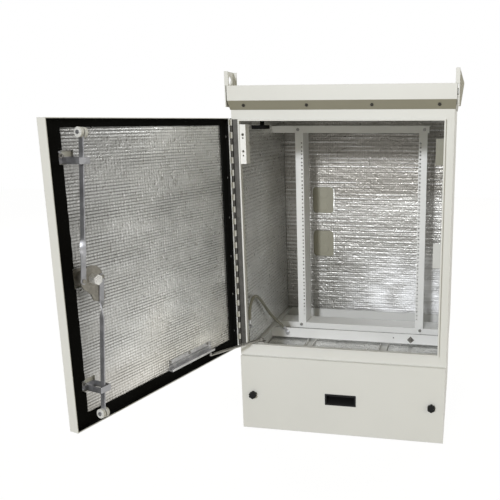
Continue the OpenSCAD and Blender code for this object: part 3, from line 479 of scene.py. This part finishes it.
# Wall and ceiling pads
UP, RIGHT, LEFT, TO_BACK, TO_FRONT = (0, 0, 1), (1, 0, 0), (-1, 0, 0), (0, 1, 0), (0, -1, 0)
PAD_LOW, PAD_HIGH = 0.283, 1.136
PAD_H = PAD_HIGH - PAD_LOW
PAD_T = 0.0117
WALL, BACK = 0.3607, 0.2927
REAR_HALF = 0.3499
SIDE_FRONT, SIDE_BACK = -0.233, 0.2818
SIDE_LONG = SIDE_BACK - SIDE_FRONT
CEILING_HALF, CEILING_BACK, CEILING_Z, CEILING_LONG = 0.348, 0.278, 1.1497, 0.56
WINDOW_LEFT, WINDOW_RIGHT, WINDOW_H = -0.231, -0.141, 0.112
WINDOW_Z = (0.520, 0.707)
WINDOW_CORNER, WINDOW_REACH = 0.015, 0.03
TOP_BAR_NEAR, TOP_BAR_FAR, TOP_BAR_LOW, TOP_BAR_HIGH = 0.409, 0.501, 1.0435, 1.0745
BRACKET_FRONT, BRACKET_Z, BRACKET_H = -0.145, (0.9475, 0.5965), 0.088
FITTING_GAP, PAST_EDGE = 0.002, 1.0
top_bar_cut = (TOP_BAR_NEAR + FRONT - FITTING_GAP - SIDE_FRONT,
               TOP_BAR_FAR + FRONT + FITTING_GAP - SIDE_FRONT,
               TOP_BAR_LOW - PAD_LOW, TOP_BAR_HIGH - PAD_LOW)
bracket_cuts = [(SIDE_BACK - BRACKET_FRONT, PAST_EDGE, z - FITTING_GAP - PAD_LOW,
                 z + BRACKET_H - PAD_LOW) for z in BRACKET_Z]


def cut_window(pad, under):
    """Cuts a window with rounded corners through the rear pad."""
    start_piece()
    bpy.ops.mesh.primitive_plane_add(size=1)
    cutter = bpy.context.object
    for vertex in cutter.data.vertices:
        vertex.co = (WINDOW_RIGHT if vertex.co.x > 0 else WINDOW_LEFT, BACK - WINDOW_REACH,
                     under + WINDOW_H if vertex.co.y > 0 else under)
    bpy.ops.object.mode_set(mode="EDIT")
    bpy.ops.mesh.select_all(action="SELECT")
    bpy.ops.mesh.bevel(offset=WINDOW_CORNER, segments=4, affect="VERTICES")
    bpy.ops.mesh.extrude_region_move(TRANSFORM_OT_translate={"value": (0, 2 * WINDOW_REACH, 0)})
    bpy.ops.mesh.select_all(action="SELECT")
    bpy.ops.mesh.normals_make_consistent(inside=False)
    bpy.ops.object.mode_set(mode="OBJECT")
    apply_modifier(pad, "BOOLEAN", object=cutter, operation="DIFFERENCE", solver="EXACT")
    bpy.data.objects.remove(cutter)


# The rear pad gets painted shade towards its left and top, a painted shadow band across its upper
# part and a painted highlight at its lower right
rear_foil = foil_pad((-REAR_HALF, BACK, PAD_LOW), RIGHT, UP, 2 * REAR_HALF, PAD_H, PAD_T, 2.0,
                     painted_shade=(0.68, -0.12, 0.15), painted_shadow_top=(0.46, 0.60, 0.5), corner_highlight=0.9,
                     rib=0.0005, fade=0.3, pitch=0.0166, crest_highlight_share=0.4, neat=(True, True))
left_foil = foil_pad((-WALL, SIDE_FRONT, PAD_LOW), TO_BACK, UP, SIDE_LONG, PAD_H, PAD_T, 11.0,
                     [top_bar_cut], rib=0.0008, fade=0.6, crest_highlight_share=0.5, neat=(False, True))
right_foil = foil_pad((WALL, SIDE_BACK, PAD_LOW), TO_FRONT, UP, SIDE_LONG, PAD_H, PAD_T, 23.0,
                      bracket_cuts, neat=(True, False))
ceiling_foil = foil_pad((-CEILING_HALF, CEILING_BACK, CEILING_Z), RIGHT, TO_FRONT, 2 * CEILING_HALF,
                        CEILING_LONG, PAD_T, 31.0)
for window_foot in WINDOW_Z:
    cut_window(rear_foil, window_foot)
smooth_faces(rear_foil)
for pad, piece_name, node_name in [(rear_foil, "rear_foil", "rear_pad"),
                                   (left_foil, "left_foil", "left_pad"),
                                   (right_foil, "right_foil", "right_pad"),
                                   (ceiling_foil, "ceiling_foil", "ceiling_pad")]:
    end_piece(pad, piece_name, "cabinet", wall_foil, "foil_foam", node_name)

# Floor strips between the channels
STRIP_FRONT, STRIP_LONG, STRIP_T = -0.287, 0.56, 0.0078
FLOOR_TOP = 0.2102
FLOOR_STRIPS = [(-0.354, -0.2022), (-0.167, 0.094), (0.1292, 0.354)]
strips = [foil_pad((left, STRIP_FRONT, FLOOR_TOP), RIGHT, TO_BACK, right - left, STRIP_LONG,
                   STRIP_T, 41.0 + left) for left, right in FLOOR_STRIPS]
floor_foil = end_piece(join_pieces(strips), "floor_foil", "cabinet", floor_foil_face, "foil_foam",
                       "floor_pads")

# Door pad, laid from its free side to the hinge, with room for the lock, guides and stay track
DOOR_PAD_HINGE, DOOR_PAD_FREE, DOOR_PAD_LOW, DOOR_PAD_HIGH = -0.3207, 0.2987, 0.3448, 1.0772
DOOR_PAD_T = 0.009
LOCK_ROOM = 0.025
GUIDE_HINGE, GUIDE_FREE, GUIDE_UNDER, GUIDE_OVER = 0.018, 0.033, 0.010, 0.024
TRACK_FROM_HINGE, TRACK_LONG, TRACK_TOP = 0.143, 0.208, 0.3765
UNDER_EDGE = -0.01
lock_u = DOOR_PAD_FREE - LOCK_X
lock_v = LOCK_Z - DOOR_PAD_LOW
track_u = DOOR_PAD_FREE - HINGE_X - TRACK_FROM_HINGE
fitting_cuts = [(lock_u - LOCK_ROOM, lock_u + LOCK_ROOM, lock_v - LOCK_ROOM, lock_v + LOCK_ROOM),
                (track_u - TRACK_LONG, track_u + FITTING_GAP, UNDER_EDGE, TRACK_TOP - DOOR_PAD_LOW)]
fitting_cuts += [(lock_u - GUIDE_FREE, lock_u + GUIDE_HINGE, z - GUIDE_UNDER - DOOR_PAD_LOW,
                  z + GUIDE_OVER - DOOR_PAD_LOW) for z in GUIDE_Z]
# The door pad gets painted shade towards its free side and top
door_foil = foil_pad((DOOR_PAD_FREE, DOOR_SKIN, DOOR_PAD_LOW), LEFT, UP,
                     DOOR_PAD_FREE - DOOR_PAD_HINGE, DOOR_PAD_HIGH - DOOR_PAD_LOW, DOOR_PAD_T, 57.0,
                     fitting_cuts, DOOR, wander=0.05, warm=0.25, painted_shade=(0.40, -1.25, 0.28),
                     rib=0.0010, fade=0.35, pitch=0.0083, crest_highlight_share=0.5)
end_piece(door_foil, "door_foil", "door", door_foil_face, "foil_foam", "door_pad")

# Foam seal
SEAL_HALF, SEAL_LOW, SEAL_HIGH = 0.3448, 0.3166, 1.0984
SEAL_W, SEAL_T, SEAL_TOP = 0.0277, 0.0135, 0.0136
SEAL_IN_HINGE, SEAL_IN_FREE, SEAL_IN_HIGH = -0.3212, 0.2992, 1.0777
SEAL_ROUND, SEAL_LOCK_ROOM, NOTCH_REACH = 0.004, 0.026, 0.04
TURNED_T, TURNED_FOOT, TURNED_TOP, TURNED_ROUND = 0.0012, 0.011, 0.0245, 0.0004
STRAIGHT_RIM = 0.01
ON_LINE = 1e-4


def box_piece(left, right, near, far, under, over):
    """A box between the given sides, near and far from the door's skin."""
    start_piece()
    bpy.ops.mesh.primitive_cube_add(size=1)
    box = bpy.context.object
    for vertex in box.data.vertices:
        vertex.co = (right if vertex.co.x > 0 else left,
                     DOOR_SKIN + (far if vertex.co.y > 0 else near),
                     over if vertex.co.z > 0 else under)
    return box


def foam_seal():
    """The black foam frame on the inside of the door, notched at the fittings.

    Its top edges are rounded, and it turns up along the hinge and the foot."""
    start_piece()
    bpy.ops.mesh.primitive_plane_add(size=1)
    seal = bpy.context.object
    for vertex in seal.data.vertices:
        vertex.co = (SEAL_HALF if vertex.co.x > 0 else -SEAL_HALF, DOOR_SKIN,
                     SEAL_HIGH if vertex.co.y > 0 else SEAL_LOW)
    bpy.ops.object.mode_set(mode="EDIT")
    bpy.ops.mesh.select_all(action="SELECT")
    bpy.ops.mesh.inset(thickness=SEAL_W)
    bpy.ops.mesh.delete(type="FACE")
    bpy.ops.object.mode_set(mode="OBJECT")
    for vertex in seal.data.vertices:
        if abs(vertex.co.x - (-SEAL_HALF + SEAL_W)) < ON_LINE:
            vertex.co.x = SEAL_IN_HINGE
        if abs(vertex.co.x - (SEAL_HALF - SEAL_W)) < ON_LINE:
            vertex.co.x = SEAL_IN_FREE
        if abs(vertex.co.z - (SEAL_HIGH - SEAL_W)) < ON_LINE:
            vertex.co.z = SEAL_IN_HIGH
    bpy.ops.object.mode_set(mode="EDIT")
    bpy.ops.mesh.select_all(action="SELECT")
    bpy.ops.mesh.subdivide(number_cuts=40)
    bpy.ops.object.mode_set(mode="OBJECT")
    apply_modifier(seal, "SOLIDIFY", thickness=SEAL_T, offset=-1.0)

    notches = [(LOCK_X - GUIDE_HINGE, LOCK_X + GUIDE_FREE, z - GUIDE_UNDER, z + GUIDE_OVER)
               for z in GUIDE_Z]
    notches.append((LOCK_X - SEAL_LOCK_ROOM, LOCK_X + SEAL_LOCK_ROOM,
                    LOCK_Z - SEAL_LOCK_ROOM, LOCK_Z + SEAL_LOCK_ROOM))
    for left, right, under, over in notches:
        fitting = box_piece(left, right, -NOTCH_REACH, NOTCH_REACH, under, over)
        apply_modifier(seal, "BOOLEAN", object=fitting, operation="DIFFERENCE", solver="EXACT")
        bpy.data.objects.remove(fitting)
    start_piece()
    apply_modifier(seal, "BEVEL", width=SEAL_ROUND, segments=3, limit_method="ANGLE",
                   angle_limit=math.radians(50))
    bpy.ops.object.mode_set(mode="EDIT")
    bpy.ops.mesh.select_all(action="SELECT")
    bpy.ops.mesh.normals_make_consistent(inside=False)
    bpy.ops.object.mode_set(mode="OBJECT")

    # Uneven foam, with straight rims along the hinge and the free side
    for vertex in seal.data.vertices:
        depth = (vertex.co.y - DOOR_SKIN) / SEAL_T
        swell = noise.noise(vertex.co * 38.0) * 0.0016 + noise.noise(vertex.co * 130.0) * 0.0006
        swollen = vertex.co.y + swell * 0.5 * depth
        vertex.co.y = max(DOOR_SKIN, min(DOOR_SKIN + SEAL_TOP, swollen))
        if -SEAL_HALF + STRAIGHT_RIM < vertex.co.x < SEAL_HALF - STRAIGHT_RIM:
            vertex.co.x += noise.noise(vertex.co * 55.0) * 0.0012
            vertex.co.z += noise.noise(vertex.co * 45.0 + Vector((9, 0, 0))) * 0.0010

    turned_up = [(-SEAL_HALF, -SEAL_HALF + TURNED_T, SEAL_LOW, SEAL_HIGH),
                 (-SEAL_HALF, SEAL_HALF, SEAL_LOW, SEAL_LOW + TURNED_T)]
    edges = []
    for left, right, under, over in turned_up:
        edge = box_piece(left, right, TURNED_FOOT, TURNED_TOP, under, over)
        apply_modifier(edge, "BEVEL", width=TURNED_ROUND, segments=2)
        edges.append(edge)
    join_pieces([seal] + edges)
    seal.data.transform(DOOR)
    smooth_faces(seal)
    return seal


seal = end_piece(foam_seal(), "door_foam_seal", "door", black_foam, "seal_foam", "door_seal")

# Earth cable from the lug on the left wall in an arch to the lug on the bottom bar
MM = 0.001
CABLE_R = 0.0055
CABLE_RISE, CABLE_LEAD_IN, LUG_LONG = 0.015, 0.013, 0.0143
CABLE_START = Vector((-0.338, 0.034 + FRONT, 0.398))
LUG_WAY = Vector((-9, -24, 28)).normalized()
CABLE_END = Vector((-0.301, 0.344 + FRONT, 0.263)) + LUG_LONG * LUG_WAY
# Stations of the arch: millimetres to the right, share of the way back, millimetres up
CABLE_ARCH = [(0, 0.013, 33), (0, 0.053, 52), (0, 0.113, 64), (0, 0.186, 68), (0, 0.269, 63),
              (0, 0.369, 47), (0.5, 0.485, 21), (2.5, 0.618, -14), (8, 0.751, -52),
              (18.6, 0.867, -87)]


def earth_cable():
    """The cable as one smooth tube along the route of its solid."""
    reach = CABLE_END.y - CABLE_START.y
    route = [CABLE_START, CABLE_START + Vector((0, 0, CABLE_RISE))]
    route += [CABLE_START + Vector((x * MM, share * reach, z * MM)) for x, share, z in CABLE_ARCH]
    route += [CABLE_END + CABLE_LEAD_IN * LUG_WAY, CABLE_END]
    curve = bpy.data.curves.new("earth_lead", "CURVE")
    curve.dimensions = "3D"
    curve.bevel_depth = CABLE_R
    curve.bevel_resolution = 5
    curve.resolution_u = 10
    curve.use_fill_caps = True
    spline = curve.splines.new("BEZIER")
    spline.bezier_points.add(len(route) - 1)
    for point, spot in zip(spline.bezier_points, route):
        point.co = spot
        point.handle_left_type = point.handle_right_type = "AUTO"
    lead = bpy.data.objects.new("earth_lead", curve)
    bpy.context.scene.collection.objects.link(lead)
    return lead, route


lead, route = earth_cable()
bpy.context.view_layer.update()
end_piece(lead, "earth_lead", "cabinet", cable_skin, "cable_sheath", "earth_cable")

# Floor, light and camera
# Lamps: name, place, aim, size, power, colour
LAMPS = [
    ("key", (-1.2, -9.0, 3.5), (0, 0, 0.65), 1.0, 480, (0.925, 0.95, 1.0)),
    ("back_left", (-3.4, 3.9, 3.0), (0, 0, 0.7), 2.0, 85, (0.97, 0.98, 1.0)),
    ("back_right", (3.4, 3.9, 3.0), (0, 0, 0.7), 2.0, 85, (0.97, 0.98, 1.0)),
    ("side_fill", (2.4, -2.4, 1.2), (-0.45, -0.6, 0.65), 1.4, 11, (1.0, 0.98, 0.95)),
]
FLOOR_TONE = (0.46, 0.44, 0.38, 1)
FLOOR_GLOW, FLOOR_GLOW_SHARE = 1.08, 0.9
ROOM_TONE, ROOM_LIGHT = (1.0, 0.91, 0.56, 1), 0.27
ROOM_MIRRORED = 0.85


def studio_floor():
    """A pale floor that runs out of the picture and is white to the eye."""
    start_piece()
    bpy.ops.mesh.primitive_plane_add(size=14, location=(0, 0, -0.001))
    floor = bpy.context.object
    floor.name = "studio_floor"
    paper, tree, shader = new_finish("pale_floor", 0.8)
    shader.inputs["Base Color"].default_value = FLOOR_TONE
    path = add(tree, "ShaderNodeLightPath")
    glow = add(tree, "ShaderNodeEmission", {"Color": WHITE, "Strength": FLOOR_GLOW})
    seen = add(tree, "ShaderNodeMath", operation="MAXIMUM")
    most = add(tree, "ShaderNodeMath", {1: FLOOR_GLOW_SHARE}, operation="MULTIPLY")
    mixed = add(tree, "ShaderNodeMixShader")
    tree.links.new(path.outputs["Is Camera Ray"], seen.inputs[0])
    tree.links.new(path.outputs["Is Glossy Ray"], seen.inputs[1])
    tree.links.new(seen.outputs["Value"], most.inputs[0])
    tree.links.new(most.outputs["Value"], mixed.inputs["Fac"])
    tree.links.new(shader.outputs["BSDF"], mixed.inputs[1])
    tree.links.new(glow.outputs["Emission"], mixed.inputs[2])
    tree.links.new(mixed.outputs["Shader"], tree.nodes["Material Output"].inputs["Surface"])
    floor.data.materials.append(paper)


def studio_room():
    """A dim warm surround that is white to the eye and in reflections."""
    world = bpy.data.worlds.new("studio")
    bpy.context.scene.world = world
    world.use_nodes = True
    tree = world.node_tree
    room = tree.nodes["Background"]
    room.inputs["Color"].default_value = ROOM_TONE
    room.inputs["Strength"].default_value = ROOM_LIGHT
    white = add(tree, "ShaderNodeBackground", {"Color": WHITE, "Strength": 1.0})
    path = add(tree, "ShaderNodeLightPath")
    mirrored = add(tree, "ShaderNodeMath", {1: ROOM_MIRRORED}, operation="MULTIPLY")
    seen = add(tree, "ShaderNodeMath", operation="MAXIMUM")
    mixed = add(tree, "ShaderNodeMixShader")
    tree.links.new(path.outputs["Is Glossy Ray"], mirrored.inputs[0])
    tree.links.new(path.outputs["Is Camera Ray"], seen.inputs[0])
    tree.links.new(mirrored.outputs["Value"], seen.inputs[1])
    tree.links.new(seen.outputs["Value"], mixed.inputs["Fac"])
    tree.links.new(room.outputs["Background"], mixed.inputs[1])
    tree.links.new(white.outputs["Background"], mixed.inputs[2])
    tree.links.new(mixed.outputs["Shader"], tree.nodes["World Output"].inputs["Surface"])


def lamp(name, spot, aim, size, power, colour):
    """A round lamp that points at its aim."""
    light = bpy.data.lights.new(name, "AREA")
    light.shape = "DISK"
    light.size = size
    light.energy = power
    light.color = colour
    holder = bpy.data.objects.new(name, light)
    holder.location = spot
    holder.rotation_euler = (Vector(aim) - Vector(spot)).to_track_quat("-Z", "Y").to_euler()
    bpy.context.scene.collection.objects.link(holder)


def photo_camera():
    """The photograph's viewpoint, solved from the cabinet's edges."""
    camera = bpy.data.cameras.new("photo_view")
    camera.sensor_width = 36
    camera.lens = 44.99
    camera.shift_x = -0.2002
    camera.shift_y = 0.0212
    holder = bpy.data.objects.new("photo_view", camera)
    holder.location = (0.3915, -2.3024, 1.091)
    holder.rotation_euler = (math.radians(77.4), math.radians(0.09), math.radians(10.1))
    bpy.context.scene.collection.objects.link(holder)
    bpy.context.scene.camera = holder


studio_floor()
studio_room()
for plan in LAMPS:
    lamp(*plan)
photo_camera()
bpy.context.scene.view_settings.view_transform = "Standard"
